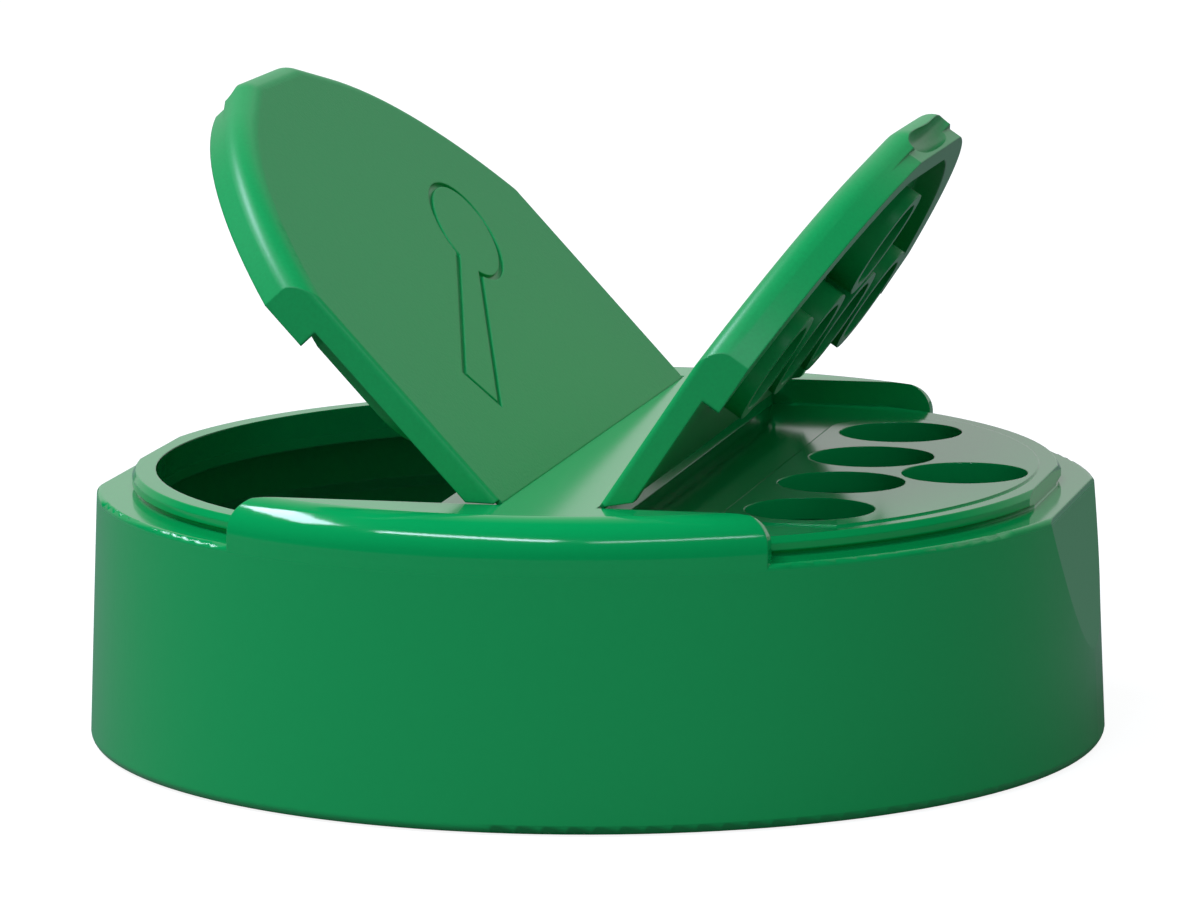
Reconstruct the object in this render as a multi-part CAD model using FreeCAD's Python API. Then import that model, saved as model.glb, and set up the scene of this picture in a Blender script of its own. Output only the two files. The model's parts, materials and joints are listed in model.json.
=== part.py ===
"""A dual flap dispensing cap for a wide-neck spice jar, moulded in one shot of polypropylene.

The row's axes: +X runs across the two hinges, +Y along them and +Z up. The origin is the centre of the
skirt's open end. The spoon flap opens towards -X and the sift flap towards +X. Each flap is modelled
shut and then turned about its film hinge to the angle at which the cap stands.
"""
import FreeCAD, Part
import math
import os

# ---------------------------------------------------------------- driving dimensions, mm and degrees
# skirt
mouth_radius = 33.25
ledge_radius = 32.6
ledge_height = 16.42
mouth_rounding = 0.6
ledge_rounding = 0.35
facet_distance = 31.455
facet_slope = 0.157

# neck bore and thread
thread_root_radius = 31.35
thread_crest_radius = 30.4
thread_pitch = 5.08
thread_turns = 1.25
thread_start = 3.4
thread_base_width = 2.5
thread_crest_width = 1.1
mouth_lead_in = 0.5
land_height = 3.1
land_taper = 0.9
roof_thickness = 1.15

# deck, collar and plateau
deck_rise = 1.27
collar_radius = 30.3
collar_chamfer_in = 0.25
collar_chamfer_down = 0.4
collar_foot_in = 0.3
collar_foot_height = 0.2
collar_flat_distance = 29.7
plateau_rise = 0.1
plateau_radius = 28.85
plateau_edge = 12.2
plateau_half_width = 20.7
plateau_corner = 4.0
core_inset = 0.9
core_roof = 1.3

# hinge strip and wings
top_height = 19.36
spoon_hinge_x = 0.05
sift_hinge_x = 6.2
film_half_width = 0.3
film_thickness = 0.35
strip_side_slope = 0.35
strip_core_wall = 1.3
strip_core_roof = 1.3
wing_inner = 26.5
wing_half_length = 17.2
wing_top_rounding = 2.4
wing_corner = 2.0

# openings
spoon_opening_radius = 28.75
spoon_opening_half_width = 24.5
spoon_opening_edge = -6.1
spoon_opening_corner = 3.0
hole_radius = 4.1
hole_column_x = 17.3
hole_spacing = 10.2
lone_hole_x = 24.4

# flaps
flap_radius = 32.35
flap_top_rounding = 1.5
flap_half_width = 26.25
flap_side_rounding = 0.45
flap_plate = 1.25
side_depth = 1.64
side_wall = 1.2
rim_depth = 2.9
rim_clearance = 0.2
hinge_chamfer_run = 1.25
tab_reach = 32.45
tab_half_width = 5.0
tab_corner = 4.0
tab_depth = 1.9
lip_flat_distance = 31.6
scoop_tube_radius = 0.85
scoop_sweep_radius = 22.0
scoop_reach = 31.1
plug_clearance = 0.3
plug_wall = 1.0
plug_depth = 2.75
ring_wall = 0.8
ring_depth = 3.4
ring_clearance = 0.2

# engraved spoon outline on the spoon flap
groove_width = 0.4
groove_depth = 0.25
figure_x = -6.7
figure_y = -12.5
figure_tilt = 23.7
handle_length = 18.5
handle_end_half_width = 1.6
handle_neck_half_width = 1.0
bowl_length = 10.9
bowl_half_width = 3.3

# how far each flap stands open from shut
spoon_open_angle = 47.35
sift_open_angle = 55.9

# ---------------------------------------------------------------- sizes worked out from them
deck_height = ledge_height + deck_rise
plateau_height = deck_height + plateau_rise
roof_underside = ledge_height - roof_thickness
core_height = deck_height - core_roof
rim_inner_radius = collar_radius + rim_clearance
rim_flat_distance = collar_flat_distance + rim_clearance
figure_line = groove_width / 2
far = 3 * mouth_radius
X = FreeCAD.Vector(1, 0, 0)
Y = FreeCAD.Vector(0, 1, 0)
Z = FreeCAD.Vector(0, 0, 1)
CENTRE = FreeCAD.Vector(0, 0, 0)


# ---------------------------------------------------------------- general forms
def point(x, y, z=0.0):
    return FreeCAD.Vector(x, y, z)


def cylinder(radius, low, high, x=0.0, y=0.0):
    """An upright cylinder between two heights."""
    return Part.makeCylinder(radius, high - low, point(x, y, low), Z)


def block(x0, x1, y0, y1, z0, z1):
    """A box between three pairs of planes, given in either order."""
    low = point(min(x0, x1), min(y0, y1), min(z0, z1))
    return Part.makeBox(abs(x1 - x0), abs(y1 - y0), abs(z1 - z0), low)


def turned(profile):
    """A solid of revolution about Z from (radius, height) points, with an optional corner rounding each."""
    face = Part.Face(rounded_outline([(r, 0, h, c) for r, h, c in profile]))
    return face.revolve(CENTRE, Z, 360)


def rounded_path(corners):
    """Edges through (x, y, z, rounding) corners in order, where each inner corner may be rounded by an arc."""
    edges = []
    at = point(*corners[0][:3])
    for i in range(1, len(corners)):
        here = point(*corners[i][:3])
        radius = corners[i][3] if i < len(corners) - 1 else 0
        if radius == 0:
            edges.append(Part.LineSegment(at, here).toShape())
            at = here
            continue
        back = (point(*corners[i - 1][:3]) - here).normalize()
        onward = (point(*corners[i + 1][:3]) - here).normalize()
        half = back.getAngle(onward) / 2
        cut = radius / math.tan(half)
        middle = here + (back + onward).normalize() * (radius / math.sin(half) - radius)
        if at.distanceToPoint(here + back * cut) > 1e-7:
            edges.append(Part.LineSegment(at, here + back * cut).toShape())
        edges.append(Part.Arc(here + back * cut, middle, here + onward * cut).toShape())
        at = here + onward * cut
    return edges


def rounded_outline(corners):
    """A closed wire through (x, y, z, rounding) corners. It starts half way along the last side."""
    first = point(*corners[0][:3])
    last = point(*corners[-1][:3])
    start = (first + last) * 0.5
    ends = [(start.x, start.y, start.z, 0)]
    return Part.Wire(rounded_path(ends + list(corners) + ends))


def prism(corners, way, length):
    """A straight prism on a rounded outline."""
    return Part.Face(rounded_outline(corners)).extrude(way * length)


def d_block(radius, edge, half_width, corner, side, low, high):
    """A D: a disc cut by a straight edge at x = edge and by y = +-half_width, kept on one side.

    side is -1 for the part left of the edge and +1 for the part right of it.
    """
    reach = math.sqrt(radius ** 2 - half_width ** 2)
    round_edge = Part.Arc(
        point(side * reach, -half_width, low),
        point(side * radius, 0, low),
        point(side * reach, half_width, low),
    ).toShape()
    turn = corner * (1 - math.sqrt(0.5))
    near = edge + side * corner
    lines = [
        round_edge,
        Part.LineSegment(point(side * reach, half_width, low), point(near, half_width, low)).toShape(),
        Part.Arc(
            point(near, half_width, low),
            point(edge + side * turn, half_width - turn, low),
            point(edge, half_width - corner, low),
        ).toShape(),
        Part.LineSegment(point(edge, half_width - corner, low), point(edge, corner - half_width, low)).toShape(),
        Part.Arc(
            point(edge, corner - half_width, low),
            point(edge + side * turn, turn - half_width, low),
            point(near, -half_width, low),
        ).toShape(),
        Part.LineSegment(point(near, -half_width, low), point(side * reach, -half_width, low)).toShape(),
    ]
    return Part.Face(Part.Wire(lines)).extrude(Z * (high - low))


def flatted_disc(radius, flat, low, high):
    """A disc with a flat at each end of X."""
    return cylinder(radius, low, high).common(block(-flat, flat, -far, far, low, high))


# ---------------------------------------------------------------- cap body
def outer_radius(height):
    """The skirt's drafted outside at a height."""
    return mouth_radius - (mouth_radius - ledge_radius) * height / ledge_height


def skirt_blank():
    """The skirt up to the ledge, with a flat facet at each end of X under the flaps' lips."""
    blank = turned([
        (0, 0, 0),
        (mouth_radius, 0, mouth_rounding),
        (ledge_radius, ledge_height, ledge_rounding),
        (0, ledge_height, 0),
    ])
    foot = facet_distance + facet_slope * ledge_height
    head = facet_distance - facet_slope
    for side in (-1, 1):
        wedge = prism([
            (side * foot, -far, 0, 0),
            (side * head, -far, ledge_height + 1, 0),
            (side * far, -far, ledge_height + 1, 0),
            (side * far, -far, 0, 0),
        ], Y, 2 * far)
        blank = blank.cut(wedge)
    return blank


def collar():
    """The raised deck's rim: a chamfer, a short upright wall and an undercut foot, with an end flat."""
    form = turned([
        (0, ledge_height - roof_thickness / 2, 0),
        (collar_radius - collar_foot_in, ledge_height - roof_thickness / 2, 0),
        (collar_radius - collar_foot_in, ledge_height + collar_foot_height, 0),
        (collar_radius, ledge_height + 2 * collar_foot_height, 0),
        (collar_radius, deck_height - collar_chamfer_down, 0),
        (collar_radius - collar_chamfer_in, deck_height, 0),
        (0, deck_height, 0),
    ])
    return form.common(block(-collar_flat_distance, collar_flat_distance, -far, far, 0, far))


def wings():
    """The two fixed segments at the ends of the hinge lines, flush with the shut flaps."""
    crown = turned([
        (0, 0, 0),
        (outer_radius(0), 0, 0),
        (outer_radius(top_height), top_height, wing_top_rounding),
        (0, top_height, 0),
    ])
    front_view = prism([
        (-wing_half_length, -far, ledge_height - roof_thickness / 2, 0),
        (-wing_half_length, -far, top_height, wing_corner),
        (wing_half_length, -far, top_height, wing_corner),
        (wing_half_length, -far, ledge_height - roof_thickness / 2, 0),
    ], Y, 2 * far)
    both = crown.common(front_view)
    middle = prism([
        (-far, -wing_inner, 0, 0),
        (-far, -wing_inner, top_height + 1, 0),
        (-far, wing_inner, top_height + 1, 0),
        (-far, wing_inner, 0, 0),
    ], X, 2 * far)
    return both.cut(middle)


def hinge_strip():
    """The fixed strip between the hinges, with sides that lean in towards the films at its top."""
    left = spoon_hinge_x + film_half_width
    right = sift_hinge_x - film_half_width
    lean = strip_side_slope
    return prism([
        (left - film_half_width, -wing_inner - 1, top_height, 0),
        (right + film_half_width, -wing_inner - 1, top_height, 0),
        (right + film_half_width, -wing_inner - 1, top_height - film_thickness, 0),
        (right, -wing_inner - 1, top_height - film_thickness, 0),
        (right + lean, -wing_inner - 1, deck_height, 0),
        (right + lean, -wing_inner - 1, ledge_height, 0),
        (left - lean, -wing_inner - 1, ledge_height, 0),
        (left - lean, -wing_inner - 1, deck_height, 0),
        (left, -wing_inner - 1, top_height - film_thickness, 0),
        (left - film_half_width, -wing_inner - 1, top_height - film_thickness, 0),
    ], Y, 2 * wing_inner + 2)


def neck_bore():
    """What the neck takes up: lead-in, thread root, taper and the plain land under the roof."""
    taper_top = roof_underside - land_height
    return turned([
        (0, -1, 0),
        (thread_root_radius + mouth_lead_in, -1, 0),
        (thread_root_radius + mouth_lead_in, 0, 0),
        (thread_root_radius, mouth_lead_in * 1.5, 0),
        (thread_root_radius, taper_top - land_taper, 0),
        (thread_crest_radius, taper_top, 0),
        (thread_crest_radius, roof_underside, 0),
        (0, roof_underside, 0),
    ])


def thread():
    """One raised helical ridge inside the skirt, with a trapezoid section."""
    outside = thread_root_radius + 0.25
    helix = Part.makeHelix(thread_pitch, thread_pitch * thread_turns, outside)
    section = Part.makePolygon([
        point(outside, 0, -thread_base_width / 2),
        point(thread_crest_radius, 0, -thread_crest_width / 2),
        point(thread_crest_radius, 0, thread_crest_width / 2),
        point(outside, 0, thread_base_width / 2),
        point(outside, 0, -thread_base_width / 2),
    ])
    ridge = Part.Wire(helix.Edges).makePipeShell([section], True, True)
    ridge.translate(Z * thread_start)
    return ridge


def sift_holes():
    """The centres of the sift holes: a column of four and one beyond it."""
    column = [point(hole_column_x, (i - 1.5) * hole_spacing) for i in range(4)]
    return column + [point(lone_hole_x, 0)]


def spoon_opening(clearance, low, high):
    """The large D opening, or what fits in it with a clearance all round."""
    return d_block(
        spoon_opening_radius - clearance,
        spoon_opening_edge - clearance,
        spoon_opening_half_width - clearance,
        spoon_opening_corner,
        -1, low, high,
    )


def cap_body():
    body = skirt_blank().fuse(collar())
    body = body.fuse(wings())
    body = body.fuse(hinge_strip())
    plateau = d_block(plateau_radius, plateau_edge, plateau_half_width, plateau_corner, 1,
                      ledge_height, plateau_height)
    body = body.fuse(plateau)
    body = body.cut(neck_bore())
    body = body.cut(spoon_opening(0, 0, top_height - film_thickness))
    core = d_block(plateau_radius - core_inset, plateau_edge + core_inset,
                   plateau_half_width - core_inset, plateau_corner, 1, 0, core_height)
    body = body.cut(core)
    strip_core = block(spoon_hinge_x + strip_core_wall, sift_hinge_x - strip_core_wall,
                       -wing_inner + strip_core_wall, wing_inner - strip_core_wall,
                       0, top_height - strip_core_roof)
    body = body.cut(strip_core)
    for centre in sift_holes():
        body = body.cut(cylinder(hole_radius, 0, top_height, centre.x, centre.y))
    return body.fuse(thread()).removeSplitter()


# ---------------------------------------------------------------- flaps
def flap_crown(side):
    """The flap's full disc with a blunt thumb tab at its end and a rounded top edge."""
    bottom = top_height - rim_depth
    corner_distance = math.hypot(tab_reach, tab_half_width)
    meet = math.atan2(tab_half_width, tab_reach) + math.acos(flap_radius / corner_distance)
    meet_x = side * flap_radius * math.cos(meet)
    meet_y = flap_radius * math.sin(meet)
    tab = rounded_path([
        (meet_x, -meet_y, bottom, 0),
        (side * tab_reach, -tab_half_width, bottom, tab_corner),
        (side * tab_reach, tab_half_width, bottom, tab_corner),
        (meet_x, meet_y, bottom, 0),
    ])
    back = Part.Arc(point(meet_x, meet_y, bottom), point(-side * flap_radius, 0, bottom),
                    point(meet_x, -meet_y, bottom)).toShape()
    crown = Part.Face(Part.Wire(tab + [back])).extrude(Z * rim_depth)
    top_edges = [e for e in crown.Edges if e.BoundBox.ZMin > top_height - 1e-3]
    return crown.makeFillet(flap_top_rounding, top_edges)


def flap_blank(side, hinge_x):
    """A shut flap's plate, side walls and rim, with the hinge edge and its half of the film."""
    bottom = top_height - rim_depth
    start = hinge_x + side * film_half_width
    band = prism([
        (start, -flap_half_width, bottom, 0),
        (start, -flap_half_width, top_height, flap_side_rounding),
        (start, flap_half_width, top_height, flap_side_rounding),
        (start, flap_half_width, bottom, 0),
    ], X * side, far)
    blank = flap_crown(side).common(band).cut(thumb_scoop(side))
    side_bottom = top_height - side_depth
    blank = blank.cut(flatted_disc(rim_inner_radius, rim_flat_distance, bottom - 1, side_bottom))
    inner = flap_half_width - side_wall
    hollow = flatted_disc(rim_inner_radius, rim_flat_distance, bottom - 1, top_height - flap_plate)
    hollow = hollow.common(block(-far, far, -inner, inner, bottom - 1, top_height))
    blank = blank.cut(hollow)
    lean = prism([
        (start, -far, top_height - film_thickness, 0),
        (start + side * hinge_chamfer_run, -far, side_bottom, 0),
        (start + side * hinge_chamfer_run, -far, bottom - 1, 0),
        (start - side, -far, bottom - 1, 0),
        (start - side, -far, top_height - film_thickness, 0),
    ], Y, 2 * far)
    blank = blank.cut(lean)
    film = block(hinge_x, start, -flap_half_width + flap_side_rounding,
                 flap_half_width - flap_side_rounding, top_height - film_thickness, top_height)
    return blank.fuse(film)


def thumb_scoop(side):
    """What is cut away under the thumb tab: its overhang down to the rim's flat, and a curved groove."""
    bottom = top_height - rim_depth - 1
    head = top_height - tab_depth
    overhang = block(0, side * far, -far, far, bottom, head)
    overhang = overhang.cut(cylinder(flap_radius, bottom, head).common(
        block(-lip_flat_distance, lip_flat_distance, -far, far, bottom, head)))
    groove = Part.makeTorus(scoop_sweep_radius, scoop_tube_radius, point(
        side * (scoop_reach + scoop_tube_radius + scoop_sweep_radius), 0, head), Z)
    return overhang.fuse(groove)


def spoon_plug():
    """The D-shaped rim under the spoon flap that enters the large opening."""
    low = top_height - plug_depth
    high = top_height - flap_plate / 2
    outside = spoon_opening(plug_clearance, low, high)
    inside = spoon_opening(plug_clearance + plug_wall, low - 1, high)
    return outside.cut(inside)


def sift_plugs():
    """One short tube under the sift flap for each hole."""
    low = top_height - ring_depth
    high = top_height - flap_plate / 2
    outer = hole_radius - ring_clearance
    tubes = []
    for centre in sift_holes():
        tube = cylinder(outer, low, high, centre.x, centre.y)
        tubes.append(tube.cut(cylinder(outer - ring_wall, low - 1, high, centre.x, centre.y)))
    return tubes


def spoon_figure(offset, low, high):
    """The spoon outline's plan, grown by an offset, as a solid between two heights."""
    turn = math.radians(figure_tilt)
    along = point(-math.sin(turn), math.cos(turn))
    across = point(math.cos(turn), math.sin(turn))
    origin = point(figure_x, figure_y, low)

    def place(u, w):
        return origin + along * u + across * w

    handle = Part.Face(Part.makePolygon([
        place(-offset, -handle_end_half_width - offset),
        place(-offset, handle_end_half_width + offset),
        place(handle_length + 2, handle_neck_half_width + offset),
        place(handle_length + 2, -handle_neck_half_width - offset),
        place(-offset, -handle_end_half_width - offset),
    ])).extrude(Z * (high - low))
    half_length = bowl_length / 2
    bowl_centre = place(handle_length + half_length, 0)
    ellipse = Part.Ellipse(bowl_centre, half_length + offset, bowl_half_width + offset)
    edge = ellipse.toShape()
    edge.rotate(bowl_centre, Z, 90 + figure_tilt)
    bowl = Part.Face(Part.Wire([edge])).extrude(Z * (high - low))
    return handle.fuse(bowl)


def spoon_flap():
    flap = flap_blank(-1, spoon_hinge_x).fuse(spoon_plug())
    floor = top_height - groove_depth
    groove = spoon_figure(figure_line, floor, top_height + 1)
    groove = groove.cut(spoon_figure(-figure_line, floor - 1, top_height + 2))
    flap = flap.cut(groove).removeSplitter()
    flap.rotate(point(spoon_hinge_x, 0, top_height), Y, spoon_open_angle)
    return flap


def sift_flap():
    flap = flap_blank(1, sift_hinge_x)
    for tube in sift_plugs():
        flap = flap.fuse(tube)
    flap = flap.removeSplitter()
    flap.rotate(point(sift_hinge_x, 0, top_height), Y, -sift_open_angle)
    return flap


# ---------------------------------------------------------------- write one STEP file per piece
os.makedirs("parts", exist_ok=True)
for name, make in (("cap_body", cap_body), ("spoon_flap", spoon_flap), ("sift_flap", sift_flap)):
    piece = make()
    piece.exportStep(f"parts/{name}.step")
    print(name, "solids", len(piece.Solids), "volume mm3", round(piece.Volume, 1), "valid", piece.isValid())
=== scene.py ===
import bpy
import json
import math
from mathutils import Matrix, Vector


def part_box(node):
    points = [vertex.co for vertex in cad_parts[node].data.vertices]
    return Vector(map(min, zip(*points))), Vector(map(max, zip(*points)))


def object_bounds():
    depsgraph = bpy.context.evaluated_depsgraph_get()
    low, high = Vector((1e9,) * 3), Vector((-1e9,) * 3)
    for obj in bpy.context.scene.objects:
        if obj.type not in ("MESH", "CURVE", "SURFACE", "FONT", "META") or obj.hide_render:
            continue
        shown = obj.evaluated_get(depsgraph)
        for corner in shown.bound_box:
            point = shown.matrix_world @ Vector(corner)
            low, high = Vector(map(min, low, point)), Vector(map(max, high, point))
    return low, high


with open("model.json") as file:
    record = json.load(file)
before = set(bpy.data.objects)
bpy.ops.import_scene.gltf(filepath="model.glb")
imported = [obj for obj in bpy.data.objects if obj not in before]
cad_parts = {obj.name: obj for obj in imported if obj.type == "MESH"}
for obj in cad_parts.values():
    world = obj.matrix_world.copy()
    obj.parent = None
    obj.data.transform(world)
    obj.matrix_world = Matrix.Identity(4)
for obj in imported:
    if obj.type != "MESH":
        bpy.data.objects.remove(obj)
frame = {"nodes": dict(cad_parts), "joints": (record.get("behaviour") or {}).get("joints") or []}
cad_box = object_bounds()
cap = frame["nodes"]

# ---------------------------------------------------------------- the moulding's skin
# The whole cap is one injection moulding in green polypropylene. Its mould is polished round the deck and
# spark-eroded on the skirt and the flaps' faces, so one plastic is glossy in places and satin in others.
leaf_green = (0.002, 0.370, 0.092, 1.0)
millimetre = 0.001
mould_radius = 0.16 * millimetre


def wire(tree, source, target):
    """Joins one socket to another."""
    tree.links.new(source, target)


def maths(tree, operation, first, second=None, third=None, clamp=False):
    """A Math node whose inputs are numbers or sockets; its result is returned as a socket."""
    node = tree.nodes.new("ShaderNodeMath")
    node.operation = operation
    node.use_clamp = clamp
    for slot, value in zip(node.inputs, (first, second, third)):
        if value is None:
            continue
        if isinstance(value, (int, float)):
            slot.default_value = value
        else:
            wire(tree, value, slot)
    return node.outputs[0]


def grained_skin_group():
    """Spark-eroded mould grain: fine noise gives a height in metres and a faint lighter and darker mottle."""
    tree = bpy.data.node_groups.new("grained skin", "ShaderNodeTree")
    face = tree.interface
    face.new_socket("Place", in_out="INPUT", socket_type="NodeSocketVector")
    face.new_socket("Grain Width", in_out="INPUT", socket_type="NodeSocketFloat").default_value = 0.25
    face.new_socket("Grain Depth", in_out="INPUT", socket_type="NodeSocketFloat").default_value = 0.01
    face.new_socket("Mottle", in_out="INPUT", socket_type="NodeSocketFloat").default_value = 0.04
    face.new_socket("Plastic", in_out="INPUT", socket_type="NodeSocketColor")
    face.new_socket("Colour", in_out="OUTPUT", socket_type="NodeSocketColor")
    face.new_socket("Height", in_out="OUTPUT", socket_type="NodeSocketFloat")
    start = tree.nodes.new("NodeGroupInput")
    end = tree.nodes.new("NodeGroupOutput")
    grain = tree.nodes.new("ShaderNodeTexNoise")
    grain.inputs["Detail"].default_value = 2.0
    wire(tree, start.outputs["Place"], grain.inputs["Vector"])
    per_metre = maths(tree, "DIVIDE", 1 / millimetre, start.outputs["Grain Width"])
    wire(tree, per_metre, grain.inputs["Scale"])
    swing = maths(tree, "SUBTRACT", grain.outputs["Fac"], 0.5)
    depth = maths(tree, "MULTIPLY", start.outputs["Grain Depth"], millimetre)
    wire(tree, maths(tree, "MULTIPLY", swing, depth), end.inputs["Height"])
    shade = maths(tree, "MULTIPLY_ADD", swing, start.outputs["Mottle"], 1.0)
    tint = tree.nodes.new("ShaderNodeVectorMath")
    tint.operation = "SCALE"
    wire(tree, start.outputs["Plastic"], tint.inputs[0])
    wire(tree, shade, tint.inputs["Scale"])
    wire(tree, tint.outputs["Vector"], end.inputs["Colour"])
    return tree


grained_skin = grained_skin_group()


def moulded_plastic(name, gloss_roughness, satin_roughness, satin_where, grain_width, grain_depth, mottle):
    """Green polypropylene. satin_where(tree, place) gives a mask socket: 1 on mould grain, 0 on polish."""
    material = bpy.data.materials.new(name)
    material.use_nodes = True
    tree = material.node_tree
    shader = tree.nodes["Principled BSDF"]
    place = tree.nodes.new("ShaderNodeTexCoord").outputs["Object"]
    skin = tree.nodes.new("ShaderNodeGroup")
    skin.node_tree = grained_skin
    skin.inputs["Plastic"].default_value = leaf_green
    skin.inputs["Grain Width"].default_value = grain_width
    skin.inputs["Grain Depth"].default_value = grain_depth
    skin.inputs["Mottle"].default_value = mottle
    wire(tree, place, skin.inputs["Place"])
    wire(tree, skin.outputs["Colour"], shader.inputs["Base Color"])
    satin = satin_where(tree, place)
    span = satin_roughness - gloss_roughness
    wire(tree, maths(tree, "MULTIPLY_ADD", satin, span, gloss_roughness), shader.inputs["Roughness"])
    edge = tree.nodes.new("ShaderNodeBevel")
    edge.samples = 6
    edge.inputs["Radius"].default_value = mould_radius
    bump = tree.nodes.new("ShaderNodeBump")
    bump.inputs["Distance"].default_value = 1.0
    wire(tree, maths(tree, "MULTIPLY", skin.outputs["Height"], satin), bump.inputs["Height"])
    wire(tree, edge.outputs["Normal"], bump.inputs["Normal"])
    wire(tree, bump.outputs["Normal"], shader.inputs["Normal"])
    shader.inputs["IOR"].default_value = 1.49
    shader.inputs["Specular IOR Level"].default_value = 0.4
    return material


def dress(node, material):
    """Gives a CAD node's object one material in all its slots."""
    for slot in cap[node].material_slots:
        slot.material = material


# ---------------------------------------------------------------- cap body
# The skirt, ledge, collar, deck and wings, moulded in one piece round the neck's core. The skirt is a soft
# satin below the ledge, and the collar, the deck, the strip and the wings keep the mould's polish.
ledge_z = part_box("cap_body")[0][2] + 16.42 * millimetre
ledge_fade = 0.5 * millimetre


def below_ledge(tree, place):
    """1 on the skirt, falling to 0 over a short height under the ledge."""
    parts = tree.nodes.new("ShaderNodeSeparateXYZ")
    wire(tree, place, parts.inputs[0])
    drop = maths(tree, "SUBTRACT", ledge_z, parts.outputs["Z"])
    return maths(tree, "DIVIDE", drop, ledge_fade, clamp=True)


body_plastic = moulded_plastic("body plastic", gloss_roughness=0.10, satin_roughness=0.30,
                               satin_where=below_ledge, grain_width=0.5, grain_depth=0.004, mottle=0.05)
dress("cap_body", body_plastic)


# ---------------------------------------------------------------- flaps
# Each flap is the same moulding, joined to the deck by a film. The broad outer face carries the rougher
# grain, and the rounded edges, side walls, thumb lip and seal plugs underneath are smoother.
hinges = {joint["name"]: joint for joint in frame["joints"]}
open_turn = {"spoon_hinge": math.radians(47.35), "sift_hinge": math.radians(55.9)}
face_depth = 0.12 * millimetre
face_fade = 0.1 * millimetre


def outer_face(hinge_name, side):
    """A mask maker for a flap: 1 on its flat outer face, 0 from face_depth below that plane."""
    pin = Vector(hinges[hinge_name]["pos_m"])
    turn = open_turn[hinge_name]
    normal = Vector((-side * math.sin(turn), 0, math.cos(turn)))

    def mask(tree, place):
        height = tree.nodes.new("ShaderNodeVectorMath")
        height.operation = "DOT_PRODUCT"
        wire(tree, place, height.inputs[0])
        height.inputs[1].default_value = normal
        over = maths(tree, "SUBTRACT", height.outputs["Value"], pin.dot(normal) - face_depth)
        return maths(tree, "DIVIDE", over, face_fade, clamp=True)

    return mask


for flap, hinge_name, side in (("spoon", "spoon_hinge", -1), ("sift", "sift_hinge", 1)):
    flap_plastic = moulded_plastic(flap + " flap plastic", gloss_roughness=0.36, satin_roughness=0.5,
                                   satin_where=outer_face(hinge_name, side),
                                   grain_width=0.22, grain_depth=0.025, mottle=0.22)
    dress(flap + "_flap", flap_plastic)


# ---------------------------------------------------------------- floor, backdrop and lamps
# A plain white floor that keeps a faint shadow, a white backdrop that the plastic mirrors only from behind,
# and three long soft lamps: one high on the left, one overhead in front, and a thin weak one on the right.
table_drop = 0.1 * millimetre
table_grey = (0.25, 0.25, 0.25, 1)
table_glow = 0.9
ambient_light = 0.35
lamp_colour = (0.9, 1.0, 1.25)


def floor_material():
    """Matte white whose own light brings the unshaded floor up to paper white for the camera."""
    material = bpy.data.materials.new("white table")
    material.use_nodes = True
    tree = material.node_tree
    shader = tree.nodes["Principled BSDF"]
    shader.inputs["Base Color"].default_value = table_grey
    shader.inputs["Roughness"].default_value = 1.0
    shader.inputs["Specular IOR Level"].default_value = 0.0
    shader.inputs["Emission Color"].default_value = (1, 1, 1, 1)
    seen = tree.nodes.new("ShaderNodeLightPath").outputs["Is Camera Ray"]
    wire(tree, maths(tree, "MULTIPLY", seen, table_glow), shader.inputs["Emission Strength"])
    return material


bpy.ops.mesh.primitive_plane_add(size=6, location=(0, 0, cad_box[0][2] - table_drop))
table = bpy.context.object
table.name = "table"
table.data.materials.append(floor_material())

world = bpy.data.worlds.new("studio")
bpy.context.scene.world = world
world.use_nodes = True
sky = world.node_tree
path = sky.nodes.new("ShaderNodeLightPath")
aim = sky.nodes.new("ShaderNodeSeparateXYZ")
wire(sky, sky.nodes.new("ShaderNodeTexCoord").outputs["Generated"], aim.inputs[0])
behind = sky.nodes.new("ShaderNodeMapRange")
behind.inputs["From Min"].default_value = 0.4
behind.inputs["From Max"].default_value = 0.95
behind.inputs["To Min"].default_value = 0.0
behind.inputs["To Max"].default_value = 0.68
wire(sky, aim.outputs["Y"], behind.inputs["Value"])
mirrored = maths(sky, "MULTIPLY", path.outputs["Is Glossy Ray"], behind.outputs["Result"])
ambient = maths(sky, "MULTIPLY", path.outputs["Is Diffuse Ray"], ambient_light)
seen = maths(sky, "ADD", path.outputs["Is Camera Ray"], maths(sky, "ADD", mirrored, ambient))
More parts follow.
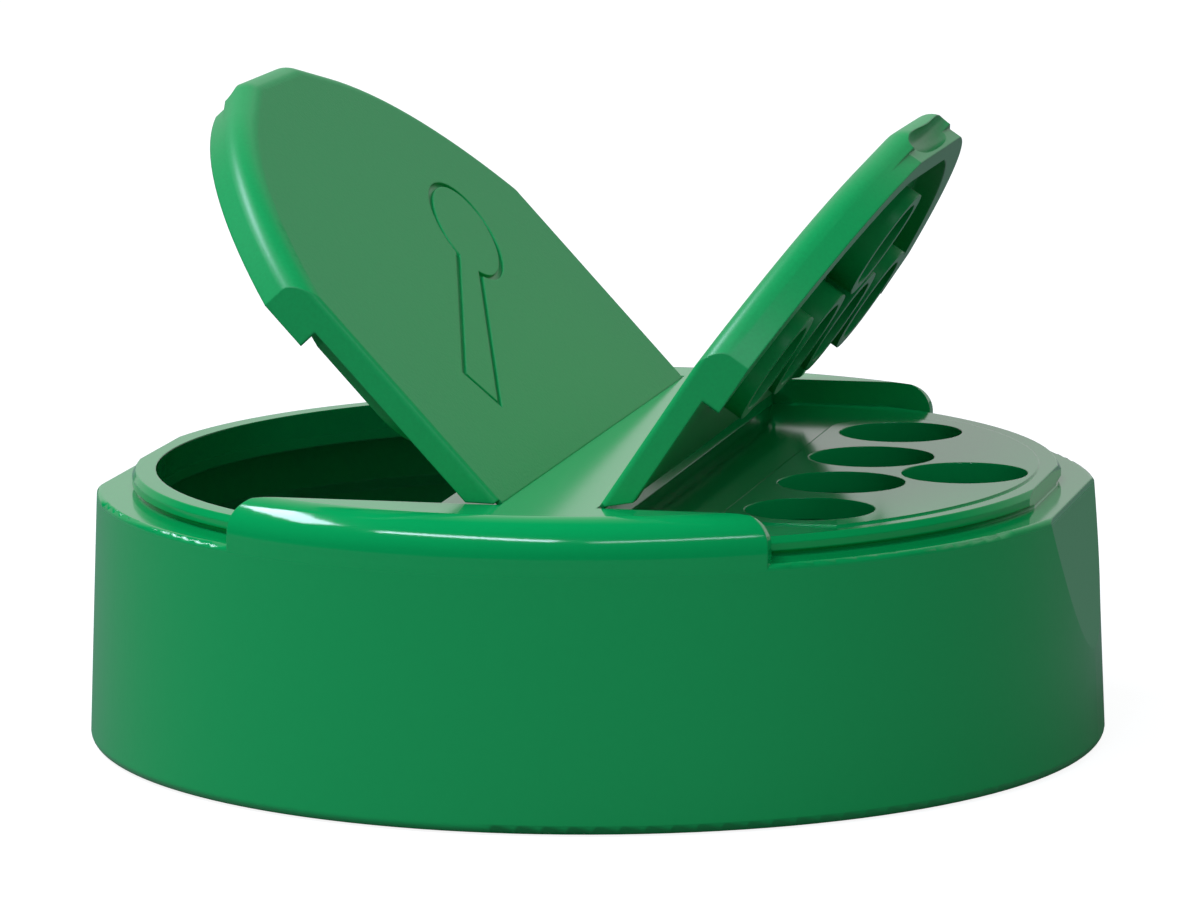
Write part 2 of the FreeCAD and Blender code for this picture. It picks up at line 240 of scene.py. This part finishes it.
wire(sky, seen, sky.nodes["Background"].inputs["Strength"])
sky.nodes["Background"].inputs["Color"].default_value = (1, 1, 1, 1)


deck_centre = Vector((0, 0, 20 * millimetre))


def lamp(name, azimuth, elevation, distance, length, width, power):
    """A rectangular soft lamp on a bearing from the front, aimed at the middle of the deck."""
    a, e = math.radians(azimuth), math.radians(elevation)
    toward = Vector((math.sin(a) * math.cos(e), -math.cos(a) * math.cos(e), math.sin(e)))
    data = bpy.data.lights.new(name, "AREA")
    data.shape = "RECTANGLE"
    data.size = length
    data.size_y = width
    data.energy = power
    data.color = lamp_colour
    lamp_object = bpy.data.objects.new(name, data)
    bpy.context.collection.objects.link(lamp_object)
    aim_turn = toward.to_track_quat("Z", "Y").to_matrix().to_4x4()
    lamp_object.matrix_world = Matrix.Translation(toward * distance + deck_centre) @ aim_turn


lamp("left lamp", -97, 50, 0.8, 0.45, 0.12, 3.0)
lamp("front lamp", -25, 52, 0.8, 0.50, 0.07, 2.3)
lamp("right lamp", 35, 48, 0.8, 0.45, 0.04, 0.7)

# ---------------------------------------------------------------- camera
# A long lens low in front of the cap and a little to its right, rolled by a third of a degree.
sight_azimuth = math.radians(13.159)
sight_elevation = math.radians(9.397)
sight_distance = 0.475
sight_point = Vector((0.0002, 0.0, 0.0185))
sight_roll = math.radians(-0.299)
camera_data = bpy.data.cameras.new("camera")
camera_data.sensor_width = 36.0
camera_data.sensor_fit = "HORIZONTAL"
camera_data.lens = 218.4
camera_data.clip_start = 0.01
camera = bpy.data.objects.new("camera", camera_data)
bpy.context.collection.objects.link(camera)
outward = Vector((math.sin(sight_azimuth) * math.cos(sight_elevation),
                  -math.cos(sight_azimuth) * math.cos(sight_elevation),
                  math.sin(sight_elevation)))
camera.matrix_world = (Matrix.Translation(sight_point + outward * sight_distance)
                       @ outward.to_track_quat("Z", "Y").to_matrix().to_4x4()
                       @ Matrix.Rotation(sight_roll, 4, "Z"))
bpy.context.scene.camera = camera
bpy.context.scene.view_settings.view_transform = "Standard"
